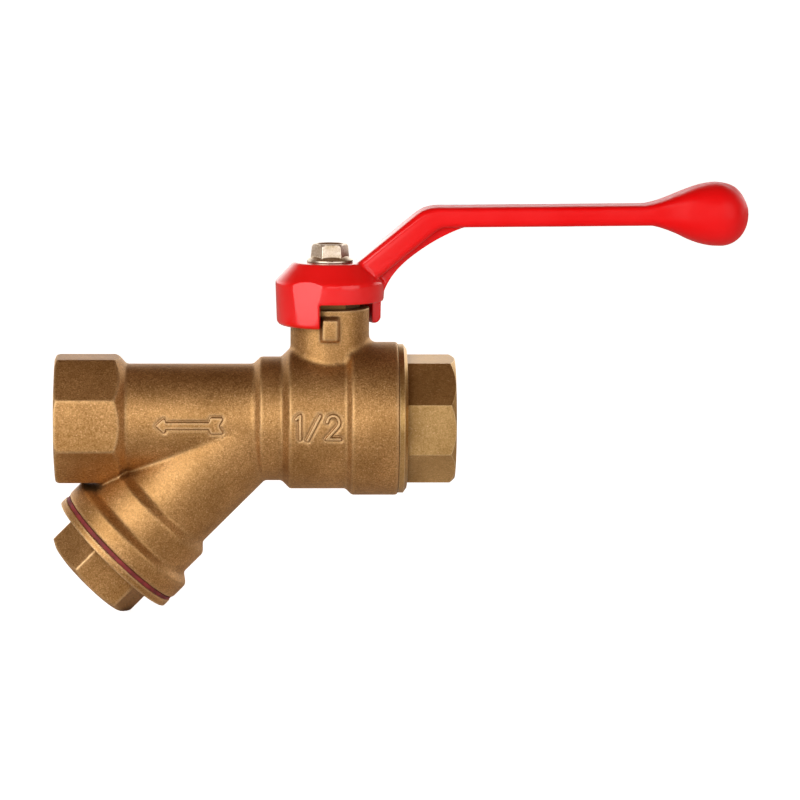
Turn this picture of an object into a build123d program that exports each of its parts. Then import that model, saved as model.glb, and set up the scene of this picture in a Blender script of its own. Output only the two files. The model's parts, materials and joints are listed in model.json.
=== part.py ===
from build123d import *
import math
import os

# Half-inch brass ball valve with a Y strainer in the same body, in millimetres.
# The pipe axis is X, with the outlet mouth at the origin and the flow towards -X.
# The stem stands on +Z, and the strainer branch hangs down and towards the outlet.

# Pipe ends: G 1/2 female threads, cut as rings, in octagons for a wrench.
# Both crests lie within the thread's tolerance, and the adapter's is cut wider than the body's.
body_minor_r = 9.32
adapter_minor_r = 9.52
pipe_major_r = 10.4775
pipe_pitch = 1.8143
pipe_turns = 7
mouth_r = 10.6
mouth_depth = 0.75
end_flats = 26.2
flats_corner_r = 0.7
end_bevel_r = 13.5
adapter_bevel_r = 12.7

# Run of the body
octagon_len = 12.6
octagon_neck = 15.0
barrel_r = 11.6
ring_r = 13.1
centre_r = 14.85
right_r = 16.2
face_r = 15.85
stem_x = 57.8
ring_from = 14.55
ring_to = 10.2
centre_to = 3.3
face_at = 14.4
run_rounds = {2: 1.2, 3: 0.6, 4: 0.8, 5: 0.7, 6: 0.6, 7: 0.7}
outlet_way_r = 8.0
inlet_way_r = 7.0

# Ball, seats and the cavity they sit in, as stations from the stem axis
ball_r = 11.25
cavity_gap = 0.75
seat_wrap = 128 / 225
seat_width = 8 / 9
seat_behind = 0.65
seat_gap = 0.04
pocket_gap = 0.1
cavity_r = ball_r + cavity_gap
seat_front = ball_r * seat_wrap
seat_r = ball_r * seat_width
seat_back = ball_r - seat_behind

# End adapter, screwed into the body behind the ball
adapter_thread_r = 13.4
adapter_root_r = 12.6
adapter_pitch = 1.5
adapter_turns = 4
adapter_lead = 0.35
adapter_from = seat_front + adapter_lead
thread_gap = 0.05
collar_r = 15.75
collar_len = 1.8
adapter_octagon_len = 10.2
adapter_flats = 25.6
adapter_twist = 3.6
seal_wire = 1.2
seal_seat_r = 14.6

# Neck, stop lug and stem
neck_r = 8.3
neck_top = 23.8
neck_blend = 1.6
stem_r = 4.0
stem_gap = 0.05
shoulder_r = 6.0
shoulder_low = 11.6
shoulder_high = 13.0
ledge_low = 14.0
ledge_high = 18.6
tang_w = 3.9
tang_low = 8.7
slot_gap = 0.15
stem_ring_wire = 1.3
stem_rings_z = (15.2, 17.4)
packing_high = 19.8
follower_high = 20.6
gland_root_r = 6.0
gland_thread_r = 6.6
gland_pitch = 1.0
gland_turns = 3
gland_hex = 11.0
gland_top = 25.0
handle_seat = 26.0
stem_flats = 5.6
stem_top = 33.1
tap_root_r = 2.1
tap_thread_r = 2.5
tap_pitch = 0.8
tap_turns = 7
lug_w = 3.3
lug_h = 4.5
lug_z = 19.8
lug_reach = 10.35
lug_x = -0.1
lug_draft = 9.0

# Strainer branch, as stations along its own axis from where it meets the pipe axis
branch_x = 40.9
branch_slope = 45.0
branch_r = 11.55
collar_step_r = 13.3
flange_r = 15.45
step_one = 25.6
step_two = 33.1
branch_face = 38.6
branch_rounds = {2: 1.0, 3: 0.8, 4: 1.0, 5: 1.0, 6: 0.5}
chamber_r = 9.4
septum_in = 2.5
septum_out = 4.3
locate_r = 7.95
cap_minor_r = 10.2
cap_major_r = 11.0
cap_pitch = 1.5
cap_turns = 5
cap_thread_from = 29.9

# Cap, gasket and screen
gasket_t = 0.8
gasket_r = 15.2
cap_flange_t = 1.7
cap_flange_r = 15.4
cap_hex = 20.0
cap_hex_len = 7.2
cap_bevel = 0.9
cap_crest_r = 10.1
cap_root_r = 9.3
cap_socket_r = 7.9
cap_floor = 1.6
cap_hex_turn = -9.0
screen_r = 7.75
screen_t = 0.35
screen_holes = 14
screen_rows = 9
screen_hole_r = 0.85
rim_t = 0.4
rim_len = 1.8

# Handle and its screw
hub_top = 33.3
hub_flat_r = 7.7
hub_r = 11.5
hub_shoulder = 29.4
rim_z = 25.2
skirt_r = 11.2
skirt_gap = 1.0
skirt_in_r = neck_r + skirt_gap
skirt_low = 20.0
skirt_corner = 0.5
shoulder_round = 1.0
top_round = 0.6
lever_turn = 90.0
stop_gap = 1.0
stop_slack = 3.0
arm_w = 9.6
arm_t = 4.3
arm_root_t = 5.4
arm_top = 45.7
arm_rise = 0.6
arm_foot_x = 5.3
arm_knee_x = 19.9
arm_edge_r = 1.5
arm_root_drop = 6.0
knee_round = 7.0
knee_inner_round = 4.0
rib_w = 4.2
rib_end_x = 28.5
rib_curve = ((23.6, -2.1), (18.6, -5.2), (14.2, -9.0), (11.4, -13.6))
bulb_x = 81.5
bulb_r = 6.75
bulb_wide = 1.15
bulb_neck = 14.0
bulb_swell = ((-7.7, 4.6), (-3.0, 6.4))
bulb_end = ((4.4, 5.27), (6.0, 2.97))
screw_hex = 7.3
screw_draft = 5.0
screw_flange_r = 4.85
screw_flange_t = 0.8
screw_top = 37.1
screw_turn = 5.0

# Marks raised on the body
mark_h = 0.35
stroke = 0.85
arrow_tip = 21.2
arrow_neck = 23.6
arrow_tail = 32.8
arrow_end = 35.6
arrow_half = 0.75
arrow_head = 1.75
arrow_feather = 1.9
arrow_notch = 1.0
figure_low = -2.8
figure_high = 2.6

down = math.radians(branch_slope)
run = Plane.XY
stem = Plane(origin=(stem_x, 0, 0), x_dir=(0, 0, 1), z_dir=(0, 1, 0))
branch = Plane(
    origin=(branch_x, 0, 0), x_dir=(-math.cos(down), 0, -math.sin(down)), z_dir=(0, 1, 0)
)


def turned(place, profile, rounds=None):
    """A solid of revolution about the place's own X axis, from (station, radius) pairs."""
    radii = [0] * len(profile)
    for index, radius in (rounds or {}).items():
        radii[index] = radius
    outline = FilletPolyline(*profile, radius=radii, close=True)
    return place * revolve(make_face(outline), Axis.X)


def rod(place, start, end, radius):
    return turned(place, [(start, 0), (start, radius), (end, radius), (end, 0)])


def tube(place, start, end, outer, inner):
    return turned(place, [(start, inner), (start, outer), (end, outer), (end, inner)])


def torus_ring(place, station, ring_radius, wire):
    """A round-section seal ring about the place's X axis."""
    section = Location((station, ring_radius)) * Circle(wire / 2)
    return place * revolve(section, Axis.X)


def ring_thread(start, turns, pitch, crest, root):
    """Profile points of a thread cut as rings, which starts and ends on a crest."""
    land = pitch / 6
    flank = pitch / 2 - land
    points = []
    for turn in range(turns):
        at = start + turn * pitch
        points += [(at, crest), (at + land, crest)]
        points += [(at + land + flank, root), (at + 2 * land + flank, root)]
    end = start + turns * pitch
    return points + [(end, crest), (end + land, crest)]


def prism(place, sides, flats, start, end, corner=0.0, turn=0.0):
    """A regular bar along the place's X axis, measured across its flats."""
    outline = RegularPolygon(flats / 2, sides, major_radius=False, rotation=turn)
    if corner:
        outline = fillet(outline.vertices(), corner)
    face = place * Plane.YZ * Location((0, 0, start)) * outline
    return extrude(face, end - start, dir=place.x_dir)


def side_plate(outline, width):
    """An outline in the XZ plane made solid to the same width each side of it."""
    return extrude(Plane.XZ * make_face(outline), width / 2, both=True)


def pipe_socket(place, mouth, into, crest):
    """The threaded hole of a pipe end, from its mouth to the end of the thread."""
    side = Plane(origin=place.from_local_coords((mouth, 0, 0)), x_dir=place.x_dir * into,
                 z_dir=(0, 1, 0))
    thread = ring_thread(mouth_depth, pipe_turns, pipe_pitch, crest, pipe_major_r)
    end = thread[-1][0]
    return turned(side, [(-1, 0), (-1, mouth_r), (0, mouth_r)] + thread + [(end, 0)])


corner_r = end_flats / 2 / math.cos(math.pi / 8)


def outlet_octagon():
    bar = prism(run, 8, end_flats, 0, octagon_neck, flats_corner_r, 22.5)
    bevels = [
        (0, 0),
        (0, end_bevel_r),
        (corner_r - end_bevel_r, corner_r),
        (octagon_len, corner_r),
        (octagon_neck, barrel_r),
        (octagon_neck, 0),
    ]
    return bar & turned(run, bevels)


def run_barrel():
    ring_start, ring_end = stem_x - ring_from, stem_x - ring_to
    right_start = stem_x + centre_to + (right_r - centre_r)
    face = stem_x + face_at
    profile = [
        (octagon_len, 0),
        (octagon_len, barrel_r),
        (ring_start - (ring_r - barrel_r), barrel_r),
        (ring_start, ring_r),
        (ring_end, ring_r),
        (ring_end + (centre_r - ring_r), centre_r),
        (stem_x + centre_to, centre_r),
        (right_start, right_r),
        (face - (right_r - face_r), right_r),
        (face, face_r),
        (face, 0),
    ]
    return turned(run, profile, run_rounds)


def branch_barrel():
    profile = [
        (0, 0),
        (0, branch_r),
        (step_one, branch_r),
        (step_one + (collar_step_r - branch_r), collar_step_r),
        (step_two, collar_step_r),
        (step_two + 1.6, flange_r),
        (branch_face, flange_r),
        (branch_face, 0),
    ]
    return turned(branch, profile, branch_rounds)


def stop_lug():
    plane = Plane(origin=(stem_x + lug_x, -(neck_r - 1.5), lug_z), x_dir=(1, 0, 0), z_dir=(0, -1, 0))
    height = lug_reach - (neck_r - 1.5)
    spread = 2 * height * math.tan(math.radians(lug_draft))
    base = plane * Rectangle(lug_w + spread, lug_h + spread)
    return extrude(base, height, taper=lug_draft)


def flow_arrow():
    """The arrow raised on the run, with a notched tail."""
    upper = [(arrow_tip, 0), (arrow_neck - 0.4, arrow_head), (arrow_neck, arrow_half)]
    upper += [(arrow_tail - 0.4, arrow_half), (arrow_tail, arrow_feather)]
    upper += [(arrow_end, arrow_feather), (arrow_end - arrow_notch, 0.0)]
    lower = [(x, -z) for x, z in reversed(upper[1:-1])]
    outline = Plane.XZ * make_face(Polyline(*upper, *lower, close=True))
    return raised(outline, barrel_r)


def size_mark():
    """The pipe size in inches, raised on the barrel over the ball."""
    low, high = figure_low, figure_high
    one = Polyline((-7.5, high - 0.9), (-6.35, high), (-6.35, low))
    slash = Line((-4.8, low), (-2.1, high))
    bow = ThreePointArc((-0.9, 1.2), (0.5, high), (1.9, 1.2))
    sweep = Polyline((1.9, 1.2), (1.7, 0.4), (-0.9, low), (2.1, low))
    figures = [trace(one, stroke), trace(slash, stroke), trace(bow, stroke), trace(sweep, stroke)]
    marks = [raised(Plane.XZ * Location((stem_x, 0)) * figure, centre_r) for figure in figures]
    return marks


def raised(outline, surface_r):
    """A mark that stands mark_h out of the front of a barrel."""
    block = extrude(outline, surface_r + 2 * mark_h, dir=(0, -1, 0))
    return block & tube(run, 0, stem_x + face_at, surface_r + mark_h, surface_r - 1)


def half_space(start, end):
    """A block that keeps only the stations from start to end along the branch."""
    block = Box(end - start, 80, 80, align=(Align.MIN, Align.CENTER, Align.CENTER))
    return branch * Location((start, 0, 0)) * block


def on_neck(edge):
    """True where an edge runs round the outside of the neck."""
    points = [edge.position_at(share) for share in (0.1, 0.5, 0.9)]
    return all(abs(math.hypot(p.X - stem_x, p.Y) - neck_r) < 0.01 for p in points)


def valve_body():
    neck = rod(stem, 0, neck_top, neck_r)
    barrels = run_barrel() + neck
    root = [edge for edge in barrels.edges() if on_neck(edge) and edge.center().Z < neck_top - 1]
    barrels = fillet(root, neck_blend)
    body = barrels + branch_barrel() + outlet_octagon() + stop_lug()
    body += flow_arrow()
    for mark in size_mark():
        body += mark
    return body - body_hollows()


def body_hollows():
    face = stem_x + face_at
    back, front = stem_x - seat_back, stem_x - seat_front
    adapter_end = stem_x + seat_front + 0.2
    thread_at = stem_x + adapter_from
    thread = ring_thread(
        thread_at,
        adapter_turns,
        adapter_pitch,
        adapter_root_r + thread_gap,
        adapter_thread_r + thread_gap,
    )
    cavity = turned(
        run,
        [(back, 0), (back, seat_r + pocket_gap), (front, seat_r + pocket_gap), (front, cavity_r)]
        + [(adapter_end - 0.1, cavity_r), (adapter_end - 0.1, adapter_root_r + thread_gap)]
        + thread
        + [(face - seal_wire - 0.1, adapter_thread_r + thread_gap)]
        + [(face - seal_wire - 0.1, seal_seat_r), (face + 1, seal_seat_r), (face + 1, 0)],
    )
    outlet_way = rod(run, 1, branch_x, outlet_way_r) & half_space(septum_out, 90)
    inlet_way = rod(run, 0, back + 1, inlet_way_r) & half_space(-60, septum_in)
    cap_thread = ring_thread(cap_thread_from, cap_turns, cap_pitch, cap_minor_r, cap_major_r)
    relief = cap_major_r + 0.15
    chamber = turned(
        branch,
        [(septum_in, 0), (septum_in, locate_r), (septum_out, locate_r), (septum_out, chamber_r)]
        + [(cap_thread_from - 0.8, chamber_r)]
        + cap_thread
        + [(branch_face - 0.4, relief), (branch_face + 1, relief), (branch_face + 1, 0)],
    )
    gland_thread = ring_thread(
        follower_high,
        gland_turns,
        gland_pitch,
        gland_root_r + thread_gap,
        gland_thread_r + thread_gap,
    )
    stem_way = turned(
        stem,
        [(0, 0), (0, shoulder_r + 0.2), (ledge_low, shoulder_r + 0.2)]
        + [(ledge_low, stem_r + stem_gap), (ledge_high, stem_r + stem_gap)]
        + [(ledge_high, gland_root_r + thread_gap)]
        + gland_thread
        + [(neck_top + 1, gland_root_r + thread_gap), (neck_top + 1, 0)],
    )
    return [cavity, outlet_way, inlet_way, chamber, stem_way, pipe_socket(run, 0, 1, body_minor_r)]


def end_adapter():
    inner, face = stem_x + seat_front + 0.2, stem_x + face_at
    shoulder = face + collar_len
    mouth = shoulder + adapter_octagon_len
    thread_at = stem_x + adapter_from
    thread = ring_thread(
        thread_at, adapter_turns, adapter_pitch, adapter_root_r, adapter_thread_r
    )
    collar = turned(
        run,
        [(inner, 0), (inner, adapter_root_r)]
        + thread
        + [(face - seal_wire - 0.1, adapter_root_r), (face - seal_wire - 0.1, adapter_thread_r - 0.1)]
        + [(face, adapter_thread_r - 0.1), (face, collar_r), (face + 1.1, collar_r)]
        + [(shoulder, collar_r - 1.0), (shoulder, 0)],
    )
    bar = prism(run, 8, adapter_flats, shoulder - 1, mouth, 0.25, 22.5 + adapter_twist)
    bevels = [
        (shoulder - 1, 0),
        (shoulder - 1, corner_r),
        (mouth - (corner_r - adapter_bevel_r), corner_r),
        (mouth, adapter_bevel_r),
        (mouth, 0),
    ]
    pocket = rod(run, inner - 1, stem_x + seat_back, seat_r + pocket_gap)
    way = rod(run, inner - 1, mouth - 1, inlet_way_r)
    socket = pipe_socket(run, mouth, -1, adapter_minor_r)
    return collar + (bar & turned(run, bevels)) - [pocket, way, socket]


def adapter_seal():
    station = stem_x + face_at - seal_wire / 2
    return torus_ring(run, station, adapter_thread_r - 0.1 + seal_wire / 2, seal_wire)


def ball():
    waterway = rod(run, stem_x - ball_r - 1, stem_x + ball_r + 1, inlet_way_r)
    slot = Pos(stem_x, 0, tang_low - 0.1) * Box(
        tang_w + 2 * slot_gap, 4 * ball_r, ball_r, align=(Align.CENTER, Align.CENTER, Align.MIN)
    )
    whole = Pos(stem_x, 0, 0) * Sphere(ball_r) - waterway
    whole = chamfer(whole.edges().filter_by(GeomType.CIRCLE), 0.4)
    return whole - slot


def seat_ring(side):
    """A seat ring of the ball, on the outlet side (-1) or the inlet side (1)."""
    place = Plane(origin=(stem_x, 0, 0), x_dir=(side, 0, 0), z_dir=(0, 1, 0))
    cup_r = ball_r + seat_gap
    inner, outer = math.sqrt(cup_r**2 - inlet_way_r**2), math.sqrt(cup_r**2 - seat_front**2)
    middle = (math.atan2(inlet_way_r, inner) + math.atan2(outer, seat_front)) / 2
    cup = ThreePointArc(
        (inner, inlet_way_r), (cup_r * math.cos(middle), cup_r * math.sin(middle)), (seat_front, outer)
    )
    back = Polyline(
        (seat_front, outer), (seat_front, seat_r), (seat_back, seat_r), (seat_back, inlet_way_r),
        (inner, inlet_way_r),
    )
    return place * revolve(make_face(cup + back), Axis.X)


def stem_spindle():
    groove_r = stem_r - stem_ring_wire + 0.05
    profile = [(shoulder_low, 0), (shoulder_low, shoulder_r), (shoulder_high, shoulder_r)]
    profile += [(shoulder_high, stem_r)]
    for middle in stem_rings_z:
        low, high = middle - stem_ring_wire * 0.6, middle + stem_ring_wire * 0.6
        profile += [(low, stem_r), (low, groove_r), (high, groove_r), (high, stem_r)]
    profile += [(stem_top, stem_r), (stem_top, 0)]
    tang = Pos(stem_x, 0, tang_low) * Box(
        tang_w, 2 * stem_r, shoulder_low - tang_low + 0.5, align=(Align.CENTER, Align.CENTER, Align.MIN)
    )
    shaft = turned(stem, profile) + tang
    flats = Pos(stem_x, 0, handle_seat) * Box(
        stem_flats, 4 * stem_r, stem_top, align=(Align.CENTER, Align.CENTER, Align.MIN)
    )
    above = rod(stem, handle_seat, stem_top + 1, stem_r + 1)
    tap_from = stem_top - tap_turns * tap_pitch - tap_pitch / 6
    tap = ring_thread(tap_from, tap_turns, tap_pitch, tap_root_r + 0.03, tap_thread_r + 0.03)
    hole = turned(stem, [(tap_from - 1, 0)] + tap + [(stem_top + 1, tap_root_r + 0.03), (stem_top + 1, 0)])
    return shaft - (above - flats) - hole


def thrust_washer():
    return tube(stem, shoulder_high, ledge_low, shoulder_r, stem_r + stem_gap)


def stem_ring(index):
    wire = stem_ring_wire - 0.04
    return torus_ring(stem, stem_rings_z[index], stem_r - stem_ring_wire + 0.06 + wire / 2, wire)


def stem_packing():
    return tube(stem, ledge_high, packing_high, gland_root_r - 0.05, stem_r + stem_gap)


def packing_follower():
    """The loose ring that the gland nut presses the packing with."""
    return tube(stem, packing_high, follower_high - 0.1, gland_root_r - 0.05, stem_r + 0.1)


def gland_nut():
    thread_from = follower_high
    thread = ring_thread(thread_from, gland_turns, gland_pitch, gland_root_r, gland_thread_r)
    plug = turned(
        stem,
        [(thread_from - 0.1, 0), (thread_from - 0.1, gland_root_r)]
        + thread[:-1]
        + [(neck_top, gland_root_r), (neck_top, 0)],
    )
    head = prism(stem, 6, gland_hex, neck_top, gland_top, 0.0, 0.0)
    return plug + head - rod(stem, 0, handle_seat, stem_r + 0.1)


def hub():
    profile = [
        (skirt_low, 0),
        (skirt_low, skirt_r),
        (rim_z + 0.6, skirt_r),
        (rim_z + 1.2, hub_r),
        (hub_shoulder, hub_r),
        (hub_top, hub_flat_r),
        (hub_top, 0),
    ]
    return turned(stem, profile, {1: skirt_corner, 4: shoulder_round, 5: top_round})


def skirt_window():
    """The cut in the skirt that lets the lever swing between the two sides of the stop lug."""
    half = math.degrees(math.asin((lug_w / 2 + 0.1) / skirt_in_r))
    middle = 270 + math.degrees(math.atan(lug_x / skirt_in_r))
    start, end = middle - half - stop_gap, middle + half + stop_gap + stop_slack + lever_turn
    reach = 2 * hub_r
    rays = [(0, 0)]
    for step in range(5):
        angle = math.radians(start + (end - start) * step / 4)
        rays.append((reach * math.cos(angle), reach * math.sin(angle)))
    wedge = Pos(stem_x, 0, skirt_low - 1) * make_face(Polyline(*rays, close=True))
    return extrude(wedge, rim_z - skirt_low + 1, dir=(0, 0, 1))


def arm_line(x):
    """Height of the top of the grip part of the arm."""
    return arm_top - math.tan(math.radians(arm_rise)) * (bulb_x - x)


def arm():
    foot_z, knee_z = hub_top - 0.2, arm_line(arm_knee_x)
    lean = math.atan2(knee_z - foot_z, arm_knee_x - arm_foot_x)
    slide = arm_root_t / math.sin(lean)
    low_knee_x = arm_knee_x + arm_root_t * math.tan(lean / 2) + (arm_root_t - arm_t) / math.tan(lean)
    corners = [
        (arm_foot_x, foot_z),
        (arm_knee_x, knee_z),
        (bulb_x, arm_top),
        (bulb_x, arm_top - arm_t),
        (low_knee_x, arm_line(low_knee_x) - arm_t),
        (arm_foot_x + slide - arm_root_drop, foot_z - arm_root_drop * math.tan(lean)),
        (arm_foot_x, foot_z - arm_root_drop * math.tan(lean)),
    ]
    rounds = [0, knee_round, 0, 0, knee_inner_round, 0, 0]
    outline = FilletPolyline(*[(stem_x + x, z) for x, z in corners], radius=rounds, close=True)
    bar = side_plate(outline, arm_w)
    long_edges = [e for e in bar.edges() if abs(abs(e.center().Y) - arm_w / 2) < 0.01]
    long_edges = [e for e in long_edges if e.center().X > stem_x + arm_foot_x + 0.5]
    long_edges = [e for e in long_edges if e.center().X < stem_x + bulb_x - 0.1]
    return fillet(long_edges, arm_edge_r)


def rib():
    """The thin web under the bend of the arm."""
    end = (rib_end_x, arm_line(rib_end_x) - arm_t)
    curve = [(x, end[1] + fall) for x, fall in rib_curve]
    lower = Spline(end, *curve)
    upper = Polyline(curve[-1], (arm_foot_x, hub_top - 4), (arm_knee_x, arm_top - 3), end)
    return Pos(stem_x, 0, 0) * side_plate(upper + lower, rib_w)


def bulb():
    """The teardrop at the end of the lever."""
    start = (-bulb_neck, arm_t / 2 - 0.1)
    outline = Spline(
        start, *bulb_swell, (0, bulb_r), *bulb_end, (bulb_r, 0), tangents=[(1, 0.08), (0, -1)]
    )
    edges = outline + Polyline((bulb_r, 0), (-bulb_neck, 0), start)
    place = Plane(origin=(stem_x + bulb_x, 0, arm_top - arm_t / 2), x_dir=(1, 0, 0), z_dir=(0, 1, 0))
    drop = revolve(make_face(edges), Axis.X)
    return place * scale(drop, by=(1, 1, bulb_wide))


def lever_handle():
    handle = hub() + arm() + rib() + bulb()
    hollow = rod(stem, skirt_low - 1, handle_seat, skirt_in_r)
    socket = rod(stem, 0, hub_top + 1, stem_r + stem_gap) & (
        Pos(stem_x, 0, 0) * Box(stem_flats + 0.1, 40, 200)
    )
    return handle - [hollow, skirt_window(), socket]


def handle_screw():
    flange_top = hub_top + screw_flange_t
    tap_from = stem_top - tap_turns * tap_pitch - tap_pitch / 6
    thread = ring_thread(tap_from, tap_turns - 1, tap_pitch, tap_root_r, tap_thread_r)
    shank = turned(stem, [(tap_from, 0)] + thread + [(hub_top, tap_root_r), (hub_top, 0)])
    flange = turned(
        stem,
        [(hub_top, 0), (hub_top, screw_flange_r), (flange_top - 0.3, screw_flange_r)]
        + [(flange_top + 0.3, screw_hex / 2), (flange_top + 0.3, 0)],
        {2: 0.2},
    )
    base = Pos(stem_x, 0, hub_top) * RegularPolygon(screw_hex / 2, 6, False, rotation=screw_turn)
    head = extrude(base, screw_top - hub_top, taper=screw_draft)
    hex_corner = screw_hex / 2 / math.cos(math.pi / 6)
    crown = [(hub_top, 0), (hub_top, hex_corner + 0.2), (screw_top - 0.9, hex_corner)]
    crown += [(screw_top, screw_hex / 2 - 0.1), (screw_top, 0)]
    dimple = turned(
        stem,
        [(screw_top - 0.35, 0), (screw_top - 0.35, 2.6), (screw_top + 0.1, 3.1), (screw_top + 0.1, 0)],
    )
    return shank + flange + (head & turned(stem, crown)) - dimple


def cap_gasket():
    return tube(branch, branch_face, branch_face + gasket_t, gasket_r, cap_major_r + 0.2)


def strainer_cap():
    seat = branch_face + gasket_t
    flange_end = seat + cap_flange_t
    end = flange_end + cap_hex_len
    spigot_end = cap_thread_from + 0.9
    thread = ring_thread(spigot_end + 0.3, cap_turns, cap_pitch, cap_root_r, cap_crest_r)
    spigot = turned(
        branch,
        [(spigot_end, 0), (spigot_end, cap_root_r)]
        + thread[:-1]
        + [(seat, cap_root_r), (seat, cap_flange_r), (flange_end, cap_flange_r), (flange_end, 0)],
    )
    head = prism(branch, 6, cap_hex, flange_end, end, 0.3, cap_hex_turn)
    corner = cap_hex / 2 / math.cos(math.pi / 6)
    crown = [(flange_end, 0), (flange_end, corner + 0.2), (end - cap_bevel, corner)]
    crown += [(end, corner - 1.6), (end, 0)]
    socket = rod(branch, spigot_end - 1, flange_end - cap_floor + 1.4, cap_socket_r)
    return spigot + (head & turned(branch, crown)) - socket


screen_from = septum_in + 0.1
screen_to = branch_face + gasket_t + cap_flange_t - cap_floor + 1.3


def screen_mesh():
    sheet = tube(branch, screen_from, screen_to, screen_r, screen_r - screen_t)
    first = screen_from + rim_len + 1.6
    pitch = (screen_to - rim_len - 1.6 - first) / (screen_rows - 1)
    pin = Cylinder(screen_hole_r, 2 * screen_r, align=(Align.CENTER, Align.CENTER, Align.MIN))
    holes = []
    for row in range(screen_rows):
        for column in range(screen_holes):
            angle = 360 / screen_holes * (column + 0.5 * (row % 2)) + 5
            spot = Location((first + row * pitch, 0, 0)) * Rotation(angle, 0, 0)
            holes.append(branch * spot * pin)
    return sheet - holes


def screen_rim(start):
    outer = screen_r - screen_t
    return tube(branch, start, start + rim_len, outer, outer - rim_t)


os.makedirs("parts", exist_ok=True)
pieces = {
    "valve_body": valve_body(),
    "end_adapter": end_adapter(),
    "adapter_seal_ring": adapter_seal(),
    "ball": ball(),
    "outlet_seat_ring": seat_ring(-1),
    "inlet_seat_ring": seat_ring(1),
    "stem": stem_spindle(),
    "stem_thrust_washer": thrust_washer(),
    "lower_stem_ring": stem_ring(0),
    "upper_stem_ring": stem_ring(1),
    "stem_packing": stem_packing(),
    "packing_follower": packing_follower(),
    "gland_nut": gland_nut(),
    "lever_handle": lever_handle(),
    "handle_screw": handle_screw(),
    "strainer_cap": strainer_cap(),
    "cap_gasket": cap_gasket(),
    "screen_mesh": screen_mesh(),
    "screen_upper_rim": screen_rim(screen_from),
    "screen_lower_rim": screen_rim(screen_to - rim_len),
}
for name, piece in pieces.items():
    export_step(piece, f"parts/{name}.step")
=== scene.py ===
import json
import math

import bmesh
import bpy
import numpy as np
from mathutils import Matrix, Vector


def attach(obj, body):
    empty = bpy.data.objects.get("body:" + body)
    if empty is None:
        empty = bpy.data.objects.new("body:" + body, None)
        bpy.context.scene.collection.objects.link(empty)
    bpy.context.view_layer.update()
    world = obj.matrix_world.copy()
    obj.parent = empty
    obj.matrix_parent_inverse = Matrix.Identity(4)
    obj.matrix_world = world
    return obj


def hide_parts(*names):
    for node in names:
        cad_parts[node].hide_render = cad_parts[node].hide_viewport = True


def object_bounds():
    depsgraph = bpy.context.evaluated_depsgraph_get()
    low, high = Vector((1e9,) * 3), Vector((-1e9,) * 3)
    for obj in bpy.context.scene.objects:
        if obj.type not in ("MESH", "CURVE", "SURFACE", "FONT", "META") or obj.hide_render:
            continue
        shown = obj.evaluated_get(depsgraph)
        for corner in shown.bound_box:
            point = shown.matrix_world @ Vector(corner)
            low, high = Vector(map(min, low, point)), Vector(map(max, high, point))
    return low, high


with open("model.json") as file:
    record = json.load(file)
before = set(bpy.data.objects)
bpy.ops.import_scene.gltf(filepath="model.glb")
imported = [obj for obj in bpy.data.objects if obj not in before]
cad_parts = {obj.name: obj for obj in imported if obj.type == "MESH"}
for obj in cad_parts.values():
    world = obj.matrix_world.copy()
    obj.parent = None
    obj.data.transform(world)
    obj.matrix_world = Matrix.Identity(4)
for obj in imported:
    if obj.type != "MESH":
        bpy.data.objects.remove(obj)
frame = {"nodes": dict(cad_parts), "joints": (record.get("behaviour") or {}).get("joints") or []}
nodes = frame["nodes"]
cadBox = [list(corner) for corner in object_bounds()]
print("frame loaded")

mm = 0.001
joints = {joint["name"]: joint for joint in frame["joints"]}
stemX = joints["lever_turn"]["pos_m"][0]
bpy.context.scene.view_settings.view_transform = "Standard"  # keeps the red of the paint pure


# ---- small helpers for objects and meshes

def placed(name, data):
    made = bpy.data.objects.new(name, data)
    bpy.context.scene.collection.objects.link(made)
    return made


def newPiece(name, mesh, body, slot, *replaced):
    piece = placed(name, mesh)
    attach(piece, body)
    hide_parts(*replaced)
    return piece


def meshFrom(name, points, faces):
    mesh = bpy.data.meshes.new(name)
    mesh.from_pydata([tuple(p) for p in points], [], faces)
    mesh.update()
    return mesh


def pointsOf(mesh):
    # in millimetres
    flat = np.zeros(len(mesh.vertices) * 3, np.float32)
    mesh.vertices.foreach_get("co", flat)
    return flat.reshape(-1, 3) / mm


def movePoints(mesh, points):
    mesh.vertices.foreach_set("co", (points * mm).ravel())
    mesh.update()


def shadeSmooth(mesh):
    for polygon in mesh.polygons:
        polygon.use_smooth = True


def joined(name, meshes):
    points, faces, start = [], [], 0
    for mesh in meshes:
        points += [tuple(v.co) for v in mesh.vertices]
        faces += [[start + i for i in polygon.vertices] for polygon in mesh.polygons]
        start += len(mesh.vertices)
    return meshFrom(name, points, faces)


def applyModifiers(holder):
    graph = bpy.context.evaluated_depsgraph_get()
    mesh = bpy.data.meshes.new_from_object(holder.evaluated_get(graph))
    holder.modifiers.clear()
    holder.data = mesh


def soften(holder, name, amounts, iterations):
    group = holder.vertex_groups.new(name=name)
    for level in np.unique(amounts):
        if level > 0:
            group.add(np.nonzero(amounts == level)[0].tolist(), float(level), "REPLACE")
    wornAndHighlit = holder.modifiers.new(name, "SMOOTH")
    wornAndHighlit.factor = 0.5
    wornAndHighlit.iterations = iterations
    wornAndHighlit.vertex_group = name


def roundedShape(mesh, look, softness=None, fillets=None):
    # one skin over everything that overlaps, with its edges worn round
    holder = placed("shaping", mesh)
    skin = holder.modifiers.new("skin", "REMESH")
    skin.mode = "VOXEL"
    skin.voxel_size = look["voxel"] * mm
    applyModifiers(holder)
    points = pointsOf(holder.data)
    soften(holder, "soft", softness(points) if softness else np.ones(len(points)), look["softening"])
    if fillets:
        soften(holder, "fillets", fillets(points), look["filletSoftening"])
    holder.modifiers.new("thin", "DECIMATE").ratio = look["keep"]
    applyModifiers(holder)
    result = holder.data.copy()
    bpy.data.objects.remove(holder)
    shadeSmooth(result)
    return result


def smoothStep(t):
    t = np.clip(t, 0.0, 1.0)
    return t * t * (3 - 2 * t)


# ---- shared shader groups

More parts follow.
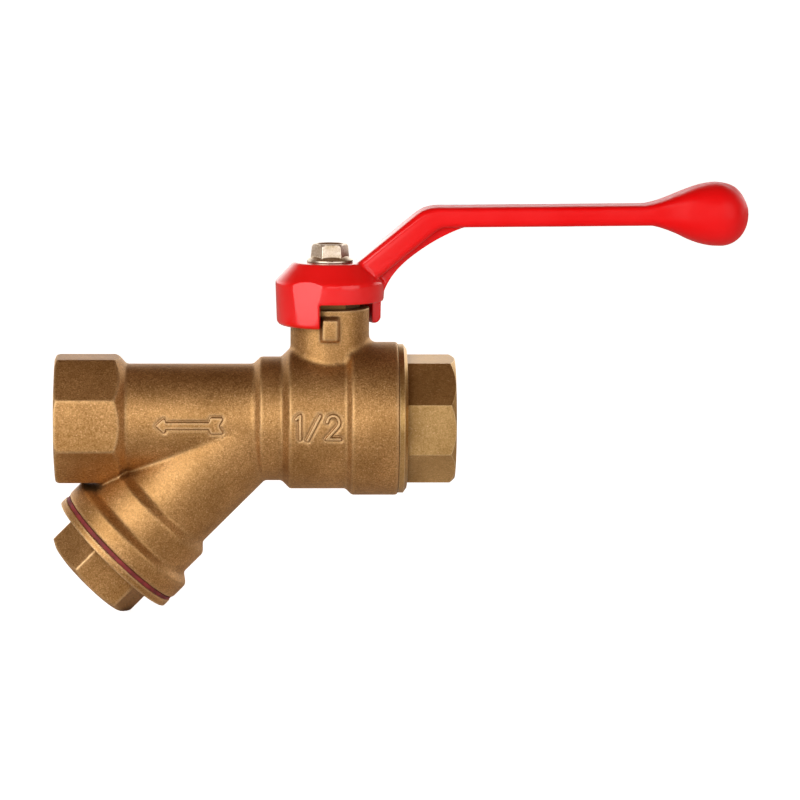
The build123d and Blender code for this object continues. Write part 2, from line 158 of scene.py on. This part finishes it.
def node(tree, kind, **settings):
    made = tree.nodes.new(kind)
    for key, value in settings.items():
        setattr(made, key, value)
    return made


def link(tree, source, target):
    tree.links.new(source, target)


def ramp(tree, source, places, values):
    made = node(tree, "ShaderNodeValToRGB")
    stops = made.color_ramp.elements
    while len(stops) < len(places):
        stops.new(0.5)
    for stop, place, value in zip(stops, places, values):
        stop.position = place
        stop.color = (*value, 1.0) if isinstance(value, tuple) else (value, value, value, 1.0)
    link(tree, source, made.inputs["Fac"])
    return made.outputs["Color"]


def mixColor(tree, share, first, second, blend="MIX"):
    # a color mix node has its factor at input 0, its colors at 6 and 7 and its result at output 2
    made = node(tree, "ShaderNodeMix", data_type="RGBA", blend_type=blend)
    for socket, value in ((made.inputs[0], share), (made.inputs[6], first), (made.inputs[7], second)):
        if isinstance(value, bpy.types.NodeSocket):
            link(tree, value, socket)
        elif isinstance(value, tuple):
            socket.default_value = (*value, 1.0)
        else:
            socket.default_value = value
    return made.outputs[2]


def mathNode(tree, operation, first, second, clamp=False):
    made = node(tree, "ShaderNodeMath", operation=operation, use_clamp=clamp)
    for socket, value in zip(made.inputs, (first, second)):
        if isinstance(value, bpy.types.NodeSocket):
            link(tree, value, socket)
        else:
            socket.default_value = value
    return made.outputs[0]


def newGroup(name, takes, gives):
    group = bpy.data.node_groups.new(name, "ShaderNodeTree")
    for label, kind, value in takes:
        socket = group.interface.new_socket(name=label, in_out="INPUT", socket_type=kind)
        socket.default_value = value
    for label, kind in gives:
        group.interface.new_socket(name=label, in_out="OUTPUT", socket_type=kind)
    return group, node(group, "NodeGroupInput"), node(group, "NodeGroupOutput")


def mapped(tree, source, taken, given):
    made = node(tree, "ShaderNodeMapRange")
    for label, value in zip(("From Min", "From Max", "To Min", "To Max"), (*taken, *given)):
        made.inputs[label].default_value = value
    link(tree, source, made.inputs["Value"])
    return made.outputs["Result"]


def coordinates(tree, kind):
    place = node(tree, "ShaderNodeTexCoord")
    split = node(tree, "ShaderNodeSeparateXYZ")
    link(tree, place.outputs[kind], split.inputs[0])
    return split.outputs


def noiseAt(tree, place, scale, detail):
    noise = node(tree, "ShaderNodeTexNoise")
    noise.inputs["Detail"].default_value = detail
    link(tree, place, noise.inputs["Vector"])
    link(tree, scale, noise.inputs["Scale"])
    return noise.outputs["Fac"]


grainLook = {"fineDetail": 3.0, "coarseDetail": 4.0, "coarseScale": 0.4, "fineShare": 0.75, "patchDetail": 3.0}


def makeGrainGroup(look):
    # grain of a blasted or painted skin: scale is in grains per millimetre
    takes = [("Scale", "NodeSocketFloat", 2.0), ("Patches", "NodeSocketFloat", 0.12)]
    gives = [("Height", "NodeSocketFloat"), ("Tone", "NodeSocketFloat"), ("Patch", "NodeSocketFloat")]
    group, source, result = newGroup("grain", takes, gives)
    place = node(group, "ShaderNodeTexCoord")
    scaled = node(group, "ShaderNodeVectorMath", operation="SCALE")
    scaled.inputs["Scale"].default_value = 1 / mm
    link(group, place.outputs["Object"], scaled.inputs[0])
    spot = scaled.outputs[0]
    fine = noiseAt(group, spot, source.outputs["Scale"], look["fineDetail"])
    coarseScale = mathNode(group, "MULTIPLY", source.outputs["Scale"], look["coarseScale"])
    coarse = noiseAt(group, spot, coarseScale, look["coarseDetail"])
    patch = noiseAt(group, spot, source.outputs["Patches"], look["patchDetail"])
    finePart = mathNode(group, "MULTIPLY", fine, look["fineShare"])
    coarsePart = mathNode(group, "MULTIPLY", coarse, 1 - look["fineShare"])
    link(group, mathNode(group, "ADD", finePart, coarsePart), result.inputs["Height"])
    link(group, fine, result.inputs["Tone"])
    link(group, patch, result.inputs["Patch"])
    return group


wearAndShadeLook = {"edgeSamples": 4, "hollowSamples": 6, "edgeGain": 24.0, "hollowCut": 2.5}


def makeWearAndShadeGroup(look):
    # Edge is 1 on outer edges, for edges that are partly worn and partly a painted highlight; Hollow is 1 in
    # corners and recesses, for painted shade
    takes = [("Radius", "NodeSocketFloat", 0.4 * mm), ("Reach", "NodeSocketFloat", 2.5 * mm)]
    gives = [("Edge", "NodeSocketFloat"), ("Hollow", "NodeSocketFloat")]
    group, source, result = newGroup("wearAndShade", takes, gives)
    bevel = node(group, "ShaderNodeBevel", samples=look["edgeSamples"])
    link(group, source.outputs["Radius"], bevel.inputs["Radius"])
    surface = node(group, "ShaderNodeNewGeometry")
    facing = node(group, "ShaderNodeVectorMath", operation="DOT_PRODUCT")
    link(group, bevel.outputs[0], facing.inputs[0])
    link(group, surface.outputs["Normal"], facing.inputs[1])
    bent = mathNode(group, "SUBTRACT", 1.0, facing.outputs["Value"])
    shade = node(group, "ShaderNodeAmbientOcclusion", samples=look["hollowSamples"])
    link(group, source.outputs["Reach"], shade.inputs["Distance"])
    hollow = mathNode(group, "SUBTRACT", 1.0, shade.outputs["AO"], clamp=True)
    outside = mathNode(group, "SUBTRACT", 1.0, mathNode(group, "MULTIPLY", hollow, look["hollowCut"]), clamp=True)
    edge = mathNode(group, "MULTIPLY", mathNode(group, "MULTIPLY", bent, look["edgeGain"], clamp=True), outside)
    link(group, edge, result.inputs["Edge"])
    link(group, hollow, result.inputs["Hollow"])
    return group


def useGroup(tree, group, **values):
    made = node(tree, "ShaderNodeGroup", node_tree=group)
    for label, value in values.items():
        made.inputs[label].default_value = value
    return made


grainGroup = makeGrainGroup(grainLook)
wearAndShadeGroup = makeWearAndShadeGroup(wearAndShadeLook)
noiseSpan = (0.3, 0.7)  # where most of a noise's values lie


def newMaterial(name, look):
    material = bpy.data.materials.new(name)
    material.use_nodes = True
    tree = material.node_tree
    shader = tree.nodes["Principled BSDF"]
    for socket, value in look["plain"].items():
        shader.inputs[socket].default_value = value
    grain = useGroup(tree, grainGroup, Scale=look["grain"], Patches=look["patches"])
    bump = node(tree, "ShaderNodeBump")
    bump.inputs["Strength"].default_value = look["bumpStrength"]
    bump.inputs["Distance"].default_value = look["bump"] * mm
    link(tree, grain.outputs["Height"], bump.inputs["Height"])
    link(tree, bump.outputs["Normal"], shader.inputs["Normal"])
    roughness = mapped(tree, grain.outputs["Tone"], noiseSpan, look["roughness"])
    link(tree, roughness, shader.inputs["Roughness"])
    return material, tree, shader, grain


def wearAndShadeOf(tree, look):
    return useGroup(tree, wearAndShadeGroup, Radius=look["edgeRadius"] * mm, Reach=look["hollowReach"] * mm)


# ---- materials

castBrassLook = {
    "plain": {"Metallic": 1.0}, "grain": 3.4, "patches": 0.11, "bump": 0.1, "bumpStrength": 0.7,
    "edgeRadius": 0.75, "hollowReach": 1.8, "roughness": (0.42, 0.6),
    "dark": (0.33, 0.175, 0.062), "body": (0.56, 0.335, 0.132), "light": (0.76, 0.5, 0.23),
    "tonesAt": (0.3, 0.5, 0.66), "paintedGlint": (0.95, 0.76, 0.5), "paintedGlintsAt": (0.66, 0.74), "paintedGlintShare": 0.75,
    "patchDark": (0.8, 0.73, 0.64), "patchLight": (1.05, 1.0, 0.97), "patchesAt": (0.35, 0.65),
    # lighter edge colour: partly real wear, partly a painted highlight along rounded edges
    "wornAndHighlit": (0.92, 0.68, 0.38), "wornAndHighlitShare": 0.8,
    # painted shade: dark brown laid into corners and recesses
    "hollowShade": (0.13, 0.06, 0.018), "hollowGain": 1.7, "hollowShadeShare": 0.62,
}


def makeBrass(name, look):
    material, tree, shader, grain = newMaterial(name, look)
    wearAndShade = wearAndShadeOf(tree, look)
    color = ramp(tree, grain.outputs["Height"], look["tonesAt"], (look["dark"], look["body"], look["light"]))
    # painted glints: bright specks in the colour stand in for tiny highlights on the grain
    paintedGlints = ramp(tree, grain.outputs["Tone"], look["paintedGlintsAt"], (0.0, look["paintedGlintShare"]))
    color = mixColor(tree, paintedGlints, color, look["paintedGlint"])
    patches = ramp(tree, grain.outputs["Patch"], look["patchesAt"], (look["patchDark"], look["patchLight"]))
    color = mixColor(tree, 1.0, color, patches, "MULTIPLY")
    # painted highlight: outer edges are lightened, partly real wear and partly standing in for bright lines of
    # light along rounded edges
    wornAndHighlit = mathNode(tree, "MULTIPLY", wearAndShade.outputs["Edge"], look["wornAndHighlitShare"])
    color = mixColor(tree, wornAndHighlit, color, look["wornAndHighlit"])
    # painted shade: corners and recesses are darkened towards a dark brown by ambient occlusion
    sunk = mathNode(tree, "MULTIPLY", wearAndShade.outputs["Hollow"], look["hollowGain"], clamp=True)
    color = mixColor(tree, mathNode(tree, "MULTIPLY", sunk, look["hollowShadeShare"]), color, look["hollowShade"])
    link(tree, color, shader.inputs["Base Color"])
    return material


machinedBrassLook = {
    **castBrassLook, "bump": 0.035, "bumpStrength": 0.4, "roughness": (0.32, 0.48),
    "edgeRadius": 0.3, "hollowReach": 6.0, "hollowGain": 1.3, "hollowShadeShare": 0.9,
    "dark": (0.47, 0.3, 0.11), "body": (0.63, 0.42, 0.17), "light": (0.75, 0.53, 0.25), "wornAndHighlit": (0.95, 0.75, 0.42),
}

paintLook = {
    "plain": {"Metallic": 0.0, "Coat Roughness": 0.08, "Specular IOR Level": 0.14},
    "grain": 0.9, "patches": 0.1, "bump": 0.05, "bumpStrength": 0.25, "roughness": (0.34, 0.44),
    "edgeRadius": 0.5, "hollowReach": 2.0, "coat": (0.85, 0.06), "coatFades": (66.0, 80.0),
    "body": (0.93, 0.0015, 0.003), "thin": (0.97, 0.009, 0.011), "patchesAt": (0.3, 0.7), "thinShare": 0.2,
    # painted shade colour for hollows, and a painted dark brown reflection colour
    "shadedRed": (0.5, 0.0, 0.003), "paintedReflection": (0.12, 0.03, 0.015), "paintedReflectionShare": 0.85,
}


def makePaint(name, look):
    material, tree, shader, grain = newMaterial(name, look)
    wearAndShade = wearAndShadeOf(tree, look)
    color = ramp(tree, grain.outputs["Patch"], look["patchesAt"], (look["body"], look["thin"]))
    # painted shade: the red darkens in corners and recesses by ambient occlusion
    color = mixColor(tree, wearAndShade.outputs["Hollow"], color, look["shadedRed"])
    thin = mathNode(tree, "MULTIPLY", wearAndShade.outputs["Edge"], look["thinShare"])
    color = mixColor(tree, thin, color, look["thin"])
    seen = node(tree, "ShaderNodeLightPath")  # painted reflection: to glossy rays the paint turns dark brown, so the brass beside it reflects brown instead of red
    paintedReflection = mathNode(tree, "MULTIPLY", seen.outputs["Is Glossy Ray"], look["paintedReflectionShare"])
    link(tree, mixColor(tree, paintedReflection, color, look["paintedReflection"]), shader.inputs["Base Color"])
    # the lacquer is worn thinner towards the grip
    fades = [at * mm for at in look["coatFades"]]
    coat = mapped(tree, coordinates(tree, "Object")["X"], fades, look["coat"])
    link(tree, coat, shader.inputs["Coat Weight"])
    return material


plainBase = {
    "plain": {"Metallic": 0.0}, "grain": 2.0, "patches": 0.3, "bump": 0.02, "bumpStrength": 0.4,
    "patchesAt": (0.35, 0.65), "specksAt": (0.3, 0.6), "speckShare": 0.4,
}
plainLooks = {
    "zincSteel": {
        "plain": {"Metallic": 1.0}, "grain": 2.2, "patches": 0.5, "bump": 0.03, "roughness": (0.26, 0.4),
        "dark": (0.6, 0.46, 0.28), "light": (0.97, 0.86, 0.74), "speck": (0.35, 0.24, 0.13),
    },
    "stainlessSheet": {
        "plain": {"Metallic": 1.0}, "grain": 3.0, "roughness": (0.25, 0.4),
        "dark": (0.5, 0.5, 0.49), "light": (0.68, 0.68, 0.67), "speck": (0.42, 0.42, 0.42),
    },
    "hardChrome": {
        "plain": {"Metallic": 1.0}, "grain": 1.0, "patches": 0.2, "bump": 0.004, "bumpStrength": 0.3,
        "roughness": (0.06, 0.12),
        "dark": (0.72, 0.73, 0.75), "light": (0.84, 0.85, 0.87), "speck": (0.7, 0.7, 0.72),
    },
    "ptfe": {
        "roughness": (0.45, 0.6),
        "dark": (0.78, 0.78, 0.75), "light": (0.88, 0.88, 0.86), "speck": (0.74, 0.73, 0.7),
    },
    "sealRubber": {
        "roughness": (0.4, 0.6),
        "dark": (0.012, 0.012, 0.013), "light": (0.03, 0.03, 0.032), "speck": (0.02, 0.02, 0.02),
    },
    "redFibre": {
        "grain": 1.6, "patches": 0.35, "bump": 0.1, "bumpStrength": 0.6, "roughness": (0.55, 0.8),
        "dark": (0.09, 0.008, 0.009), "light": (0.32, 0.035, 0.035), "speck": (0.03, 0.003, 0.004),
    },
}


def makePlain(name, look):
    # two tones in patches, for the small inner pieces and the gasket
    material, tree, shader, grain = newMaterial(name, look)
    tones = ramp(tree, grain.outputs["Patch"], look["patchesAt"], (look["dark"], look["light"]))
    specks = ramp(tree, grain.outputs["Height"], look["specksAt"], (look["speck"], look["light"]))
    link(tree, mixColor(tree, look["speckShare"], tones, specks), shader.inputs["Base Color"])
    return material


materials = {
    "castBrass": makeBrass("castBrass", castBrassLook),
    "machinedBrass": makeBrass("machinedBrass", machinedBrassLook),
    "redPaint": makePaint("redPaint", paintLook),
}
for name, look in plainLooks.items():
    materials[name] = makePlain(name, {**plainBase, **look})
print("materials made")

finishes = {
    "castBrass": ["valve_body", "strainer_cap"],
    "machinedBrass": ["end_adapter", "stem", "packing_follower", "gland_nut"],
    "redPaint": ["lever_handle"],
    "zincSteel": ["handle_screw"],
    "stainlessSheet": ["screen_mesh", "screen_upper_rim", "screen_lower_rim"],
    "hardChrome": ["ball"],
    "ptfe": ["outlet_seat_ring", "inlet_seat_ring", "stem_thrust_washer", "stem_packing"],
    "sealRubber": ["adapter_seal_ring", "lower_stem_ring", "upper_stem_ring"],
    "redFibre": ["cap_gasket"],
}


def dress(piece, finish):
    piece.data.materials.clear()
    piece.data.materials.append(materials[finish])


for finish, names in finishes.items():
    for name in names:
        dress(nodes[name], finish)


# ---- cast body and cap: the CAD shape with its edges worn round

castingLook = {
    "voxel": 0.25, "softening": 5, "keep": 0.2, "threadReach": 15.0, "threadRadius": 11.2, "threadSoftness": 0.1,
    "barrel": 11.6, "branch": 11.55, "branchX": 40.9,
    "filletReach": 1.5, "filletPast": 6.0, "filletGain": 1.6, "filletSoftening": 45,
    "lugHalf": (2.8, 3.4), "lugFront": -8.5, "lugZ": 19.8, "lugSoftness": 0.5,
}


def castSoftness(points):
    # the cut thread and mouth of the outlet stay crisp
    look = castingLook
    radius = np.hypot(points[:, 1], points[:, 2])
    cut = (points[:, 0] < look["threadReach"]) & (radius < look["threadRadius"])
    return np.where(cut, look["threadSoftness"], 1.0)


def castFillets(points):
    # the branch runs into the barrel in a soft fillet, and the stop lug is rounded
    look = castingLook
    x, y, z = points.T
    fromBarrel = abs(np.hypot(y, z) - look["barrel"])
    beside = (x - look["branchX"] - z) * math.sqrt(0.5)  # the branch leans at 45 degrees
    fromBranch = abs(np.hypot(y, beside) - look["branch"])
    near = 1 - np.maximum(fromBarrel, fromBranch) / look["filletReach"]
    inRange = x < look["branchX"] + look["filletPast"]
    near = np.where(inRange, np.clip(near * look["filletGain"], 0, 1), 0)
    halfWidth, halfHeight = look["lugHalf"]
    lug = (abs(x - stemX / mm) < halfWidth) & (abs(z - look["lugZ"]) < halfHeight) & (y < look["lugFront"])
    return np.round(np.where(lug, look["lugSoftness"], near), 1)


marksLook = {
    "height": 0.34, "edge": 0.22, "moat": 0.14, "moatWidth": 0.4, "fadeFrom": 1.3, "fadeOver": 0.5,
    "cuts": 3, "skin": 0.6, "halfHeight": 3.9,
    "arrowSpan": (20.2, 36.6), "figureBarrel": 14.85, "figureSpan": (49.6, 60.8),
    "arrowRound": 0.3, "arrowHalf": [(21.7, 0), (23.0, 1.15), (23.2, 0.4), (32.6, 0.4), (33.0, 1.4), (35.0, 1.4),
                                     (34.2, 0)],
    "stroke": 0.32, "strokes": [  # a one, a slash and a two
        [(-7.2, 1.8), (-6.35, 2.55), (-6.35, -2.4)],
        [(-4.8, -2.6), (-2.2, 2.5)],
        [(-0.75, 1.2), (-0.5, 1.95), (-0.1, 2.35), (0.5, 2.5), (1.1, 2.35), (1.55, 1.95), (1.8, 1.2), (1.6, 0.4),
         (-0.8, -2.35), (2.0, -2.35)],
    ],
}


def toLine(x, z, line):
    # distance from each point to the nearest of the line's pieces
    nearest = np.full(len(x), np.inf)
    for (ax, az), (bx, bz) in zip(line, line[1:]):
        dx, dz = bx - ax, bz - az
        along = np.clip(((x - ax) * dx + (z - az) * dz) / (dx**2 + dz**2), 0, 1)
        nearest = np.minimum(nearest, np.hypot(x - ax - along * dx, z - az - along * dz))
    return nearest


def insideOutline(x, z, outline):
    inside = np.zeros(len(x), bool)
    for (ax, az), (bx, bz) in zip(outline, outline[1:] + outline[:1]):
        if az != bz:
            inside ^= ((az > z) != (bz > z)) & (x < ax + (z - az) * (bx - ax) / (bz - az))
    return inside


def fromArrow(look, x, z):
    # how far outside the arrow each point is, negative inside it
    half = look["arrowHalf"]
    outline = half + [(px, -pz) for px, pz in reversed(half[1:-1])]
    away = toLine(x, z, outline + outline[:1])
    return np.where(insideOutline(x, z, outline), -away, away) - look["arrowRound"]


def fromFigures(look, x, z):
    offset = x - stemX / mm
    return np.min([toLine(offset, z, line) for line in look["strokes"]], axis=0) - look["stroke"]


def refineAround(mesh, look, barrel, span):
    work = bmesh.new()
    work.from_mesh(mesh)
    edges = set()
    for face in work.faces:
        spot = face.calc_center_median() / mm
        onBarrel = spot.y < 0 and abs(math.hypot(spot.y, spot.z) - barrel) < look["skin"]
        if onBarrel and span[0] < spot.x < span[1] and abs(spot.z) < look["halfHeight"]:
            edges.update(face.edges)
    bmesh.ops.subdivide_edges(work, edges=list(edges), cuts=look["cuts"], use_grid_fill=True)
    bmesh.ops.triangulate(work, faces=[face for face in work.faces if len(face.verts) > 3])
    work.to_mesh(mesh)
    work.free()


def raiseMarks(mesh, look, barrel, span, distance):
    # marks stand proud of the barrel with a shallow moat round them, cut finer than the casting
    refineAround(mesh, look, barrel, span)
    points = pointsOf(mesh)
    radius = np.hypot(points[:, 1], points[:, 2])
    x, z = points[:, 0], points[:, 2] * barrel / np.maximum(radius, 1.0)
    onBarrel = (points[:, 1] < 0) & (abs(radius - barrel) < look["skin"])
    region = onBarrel & (x > span[0]) & (x < span[1]) & (abs(z) < look["halfHeight"])
    away = distance(look, x, z)
    rise = smoothStep(0.5 - away / look["edge"]) * look["height"]
    moat = np.clip(1 - abs(away - look["edge"]) / look["moatWidth"], 0, 1) * look["moat"]
    fade = np.clip((look["fadeFrom"] - away) / look["fadeOver"], 0, 1) * region
    scale = 1 + fade * ((barrel + rise - moat) / np.maximum(radius, 1.0) - 1)
    points[:, 1] *= scale
    points[:, 2] *= scale
    movePoints(mesh, points)
    shadeSmooth(mesh)


bodyMesh = roundedShape(nodes["valve_body"].data.copy(), castingLook, castSoftness, castFillets)
raiseMarks(bodyMesh, marksLook, castingLook["barrel"], marksLook["arrowSpan"], fromArrow)
raiseMarks(bodyMesh, marksLook, marksLook["figureBarrel"], marksLook["figureSpan"], fromFigures)
castBody = newPiece("castBody", bodyMesh, "body", "cast_brass", "valve_body")
dress(castBody, "castBrass")
print("cast body shaped", len(bodyMesh.polygons))

capLook = {"voxel": 0.2, "softening": 5, "keep": 0.5}
capMesh = roundedShape(nodes["strainer_cap"].data.copy(), capLook)
castCap = newPiece("castCap", capMesh, "cap", "cast_brass", "strainer_cap")
dress(castCap, "castBrass")
print("cap shaped", len(capMesh.polygons))


# ---- lever: arm and grip lofted along their middle line, joined to the hub

leverLook = {
    "voxel": 0.26, "softening": 8, "keep": 0.5,
    "foot": (7.01, 31.01), "knee": (21.56, 42.92), "kneeRadius": 5.0, "grip": (81.5, 43.55), "buried": 5.0,
    "rootHalf": 2.7, "armHalf": 2.15, "armHalfWidth": 4.8, "taperBefore": 6.0, "taperOver": 10.0,
    "gripRadius": 6.75, "gripWidth": 1.15, "gripRunTop": 16.5, "gripRunBottom": 15.5, "gripTilt": 0.1,
    "armSquare": (6.0, 3.2), "gripSquare": (2.7, 2.2),
    "around": 56, "rootRings": 14, "kneeRings": 12, "armRings": 90, "endRings": 26,
}


def leverLine(look):
    # points and directions of the middle line, in millimetres from the stem
    foot, knee, grip = (Vector(look[key]) for key in ("foot", "knee", "grip"))
    rise, flat = (knee - foot).normalized(), (grip - knee).normalized()
    turn = rise.angle(flat)
    cut = look["kneeRadius"] * math.tan(turn / 2)
    start, end = knee - rise * cut, knee + flat * cut
    buried = look["buried"]  # the arm begins inside the hub
    steps = np.linspace(0, buried + (start - foot).length, look["rootRings"])
    line = [(foot + rise * (step - buried), rise) for step in steps]
    for share in np.linspace(0, 1, look["kneeRings"])[1:-1]:
        lean = Matrix.Rotation(-turn * share, 2) @ rise
        centre = start + Vector((rise.y, -rise.x)) * look["kneeRadius"]
        line.append((centre + Vector((-lean.y, lean.x)) * look["kneeRadius"], lean))
    line += [(end + (grip - end) * share, flat) for share in np.linspace(0, 1, look["armRings"])]
    for angle in np.linspace(0, math.pi / 2, look["endRings"])[1:]:
        line.append((grip + flat * look["gripRadius"] * math.sin(angle), flat))
    return line


def leverSection(look, x):
    # half heights above and below the middle line, half width, and squareness above and below
    fromGrip = x - look["grip"][0]
    taper = smoothStep((x - look["knee"][0] + look["taperBefore"]) / look["taperOver"])
    arm = look["rootHalf"] + (look["armHalf"] - look["rootHalf"]) * taper
    gripWidth = look["gripRadius"] * look["gripWidth"]
    if fromGrip <= 0:
        top = smoothStep(1 + fromGrip / look["gripRunTop"])
        bottom = smoothStep(1 + fromGrip / look["gripRunBottom"])
        upper = arm + (look["gripRadius"] - arm) * top
        lower = arm + (look["gripRadius"] - arm) * bottom
        wide = look["armHalfWidth"] + (gripWidth - look["armHalfWidth"]) * bottom
    else:
        top, share = 1.0, min(fromGrip / look["gripRadius"], 1.0)
        left = math.sqrt(1 - share * share)
        upper = look["gripRadius"] * left * (1 - look["gripTilt"] * share)
        lower = look["gripRadius"] * left * (1 + look["gripTilt"] * share)
        wide = gripWidth * left
    square = [a + (g - a) * top for a, g in zip(look["armSquare"], look["gripSquare"])]
    return upper, lower, wide, square


def loftedLever(look):
    points, faces, around = [], [], look["around"]
    line = leverLine(look)
    for at, along in line:
        upper, lower, wide, square = leverSection(look, at.x)
        across = Vector((-along.y, along.x))
        for step in range(around):
            angle = 2 * math.pi * step / around
            side, lift = math.cos(angle), math.sin(angle)
            power = 2 / (square[0] if lift >= 0 else square[1])
            y = math.copysign(abs(side) ** power, side) * wide
            rise = math.copysign(abs(lift) ** power, lift) * (upper if lift >= 0 else lower)
            spot = at + across * rise
            points.append((stemX + spot.x * mm, y * mm, spot.y * mm))
    for ring in range(len(line) - 1):
        for step in range(around):
            a, b = ring * around + step, ring * around + (step + 1) % around
            faces.append((a, b, b + around, a + around))
    faces.append(tuple(reversed(range(around))))
    faces.append(tuple(range(len(points) - around, len(points))))
    return meshFrom("loft", points, faces)


hubLook = {
    "inner": 9.4, "skirt": 11.2, "rim": 11.5, "outer": 11.8, "top": 29.0,
    "ledge": (25.8, 26.4), "blend": (21.5, 29.0),
    "footLow": 19.9, "footRound": 1.3, "padTurn": 27.5, "padOut": 10.95, "padTop": 31.0,
}


def rescaleHub(mesh, scaleOf):
    # every point moves straight out from the stem's axis, or in towards it
    points = pointsOf(mesh)
    along, across, z = points[:, 0] - stemX / mm, points[:, 1], points[:, 2]
    scale = scaleOf(hubLook, along, across, z)
    points[:, 0] = stemX / mm + along * scale
    points[:, 1] = across * scale
    movePoints(mesh, points)


def wallTo(look, along, across, z, wall, wanted):
    # carries the outer wall to its wanted radius and leaves the inner one where it is
    radius = np.hypot(across, along)
    part = np.clip((radius - look["inner"]) / (wall - look["inner"]), 0, 1)
    part = part * (radius < look["outer"]) * (z < look["top"])
    return 1 + part * (wanted - wall) / np.maximum(radius, 1.0)


def rimRadius(look, z):
    low, high = look["blend"]
    return look["skirt"] + (look["rim"] - look["skirt"]) * smoothStep((z - low) / (high - low))


def withoutLedge(look, along, across, z):
    # the rim runs down into the skirt without a step
    wall = np.interp(z, look["ledge"], (look["skirt"], look["rim"]))
    return wallTo(look, along, across, z, wall, rimRadius(look, z))


def roundedFoot(look, along, across, z):
    wall = rimRadius(look, z)
    into = np.clip(look["footLow"] + look["footRound"] - z, 0, look["footRound"])
    wanted = wall - look["footRound"] + np.sqrt(look["footRound"] ** 2 - into**2)
    return wallTo(look, along, across, z, wall, wanted)


def flatPad(look, along, across, z):
    # a flat pad beside the window
    turn = math.radians(look["padTurn"])
    proud = -along * math.sin(turn) - across * math.cos(turn)
    return np.where(z < look["padTop"], look["padOut"] / np.maximum(proud, look["padOut"]), 1.0)


hubMesh = nodes["lever_handle"].data.copy()
rescaleHub(hubMesh, withoutLedge)
leverMesh = roundedShape(joined("handle", [hubMesh, loftedLever(leverLook)]), leverLook)
rescaleHub(leverMesh, roundedFoot)
rescaleHub(leverMesh, flatPad)
leverCasting = newPiece("leverCasting", leverMesh, "lever", "red_paint", "lever_handle")
dress(leverCasting, "redPaint")
print("lever shaped", len(leverMesh.polygons))

screwLook = {"voxel": 0.1, "softening": 2, "keep": 0.5}
screwMesh = roundedShape(nodes["handle_screw"].data.copy(), screwLook)
leverScrew = newPiece("leverScrew", screwMesh, "lever", "zinc_steel", "handle_screw")
dress(leverScrew, "zincSteel")
print("screw shaped", len(screwMesh.polygons))


# ---- floor, light and camera

stageLook = {
    "reach": 12.0, "floor": (0.86, 0.86, 0.86), "floorLift": 0.88,
    "surround": (0.16, 0.09, 0.05), "backdrop": (1.9, 1.85, 1.8), "behind": (0.2, 0.6), "below": (0.3, 0.6),
    "lights": [
        {"name": "leftPanel", "azimuth": -38, "distance": 0.5, "height": 0.11, "size": (0.36, 0.48), "glow": 3.3},
        {"name": "frontPanel", "azimuth": 4, "distance": 1.0, "height": 0.16, "size": (0.5, 0.4), "glow": 1.35},
        {"name": "rightPanel", "azimuth": 42, "distance": 0.6, "height": 0.12, "size": (0.46, 0.42), "glow": 1.7},
    ],
}


def makeFloor(look):
    # lifted to near white for the camera alone, so that it stays darker in reflections
    reach, low = look["reach"], cadBox[0][2]
    corners = [(-reach, -reach, low), (reach, -reach, low), (reach, reach, low), (-reach, reach, low)]
    floor = placed("floor", meshFrom("floor", corners, [(0, 1, 2, 3)]))
    material = bpy.data.materials.new("paleFloor")
    material.use_nodes = True
    tree = material.node_tree
    shader = tree.nodes["Principled BSDF"]
    shader.inputs["Base Color"].default_value = (*look["floor"], 1.0)
    shader.inputs["Roughness"].default_value = 1.0
    shader.inputs["Specular IOR Level"].default_value = 0.0
    shader.inputs["Emission Color"].default_value = (1.0, 1.0, 1.0, 1.0)
    seen = node(tree, "ShaderNodeLightPath")
    lift = mathNode(tree, "MULTIPLY", seen.outputs["Is Camera Ray"], look["floorLift"])
    link(tree, lift, shader.inputs["Emission Strength"])
    floor.data.materials.append(material)


def makeWorld(look):
    # dim all round, with a bright backdrop low behind the valve
    world = bpy.data.worlds.new("studio")
    bpy.context.scene.world = world
    world.use_nodes = True
    tree = world.node_tree
    axes = coordinates(tree, "Generated")
    behind = ramp(tree, axes["Y"], look["behind"], (0.0, 1.0))
    below = ramp(tree, axes["Z"], look["below"], (1.0, 0.0))
    share = mathNode(tree, "MULTIPLY", behind, below)
    color = mixColor(tree, share, look["surround"], look["backdrop"])
    link(tree, color, tree.nodes["Background"].inputs["Color"])


def makeLights(look):
    middle = (Vector(cadBox[0]) + Vector(cadBox[1])) / 2
    for panel in look["lights"]:
        light = bpy.data.lights.new(panel["name"], "AREA")
        light.shape = "RECTANGLE"
        light.size, light.size_y = panel["size"]
        light.energy = panel["glow"] * math.pi * light.size * light.size_y
        lamp = placed(panel["name"], light)
        angle, distance = math.radians(panel["azimuth"]), panel["distance"]
        lamp.location = middle + Vector((math.sin(angle) * distance, -math.cos(angle) * distance, panel["height"]))
        lamp.rotation_euler = (middle - lamp.location).to_track_quat("-Z", "Y").to_euler()
        lamp.visible_camera = False


cameraLook = {
    "standsAt": (0.0438, -0.8406, 0.1172), "looksAt": (0.0727, 0.0, 0.0039), "lens": 180.4, "sensor": 36.0,
}


def makeCamera(look):
    data = bpy.data.cameras.new("camera")
    data.sensor_width = look["sensor"]
    data.lens = look["lens"]
    camera = placed("camera", data)
    forward = (Vector(look["looksAt"]) - Vector(look["standsAt"])).normalized()
    level = (Vector((1, 0, 0)) - forward * forward.x).normalized()  # keeps the pipe level
    turned = Matrix((level, level.cross(forward), -forward)).transposed()
    camera.matrix_world = Matrix.Translation(look["standsAt"]) @ turned.to_4x4()
    bpy.context.scene.camera = camera


makeFloor(stageLook)
makeWorld(stageLook)
makeLights(stageLook)
makeCamera(cameraLook)
print("stage set")
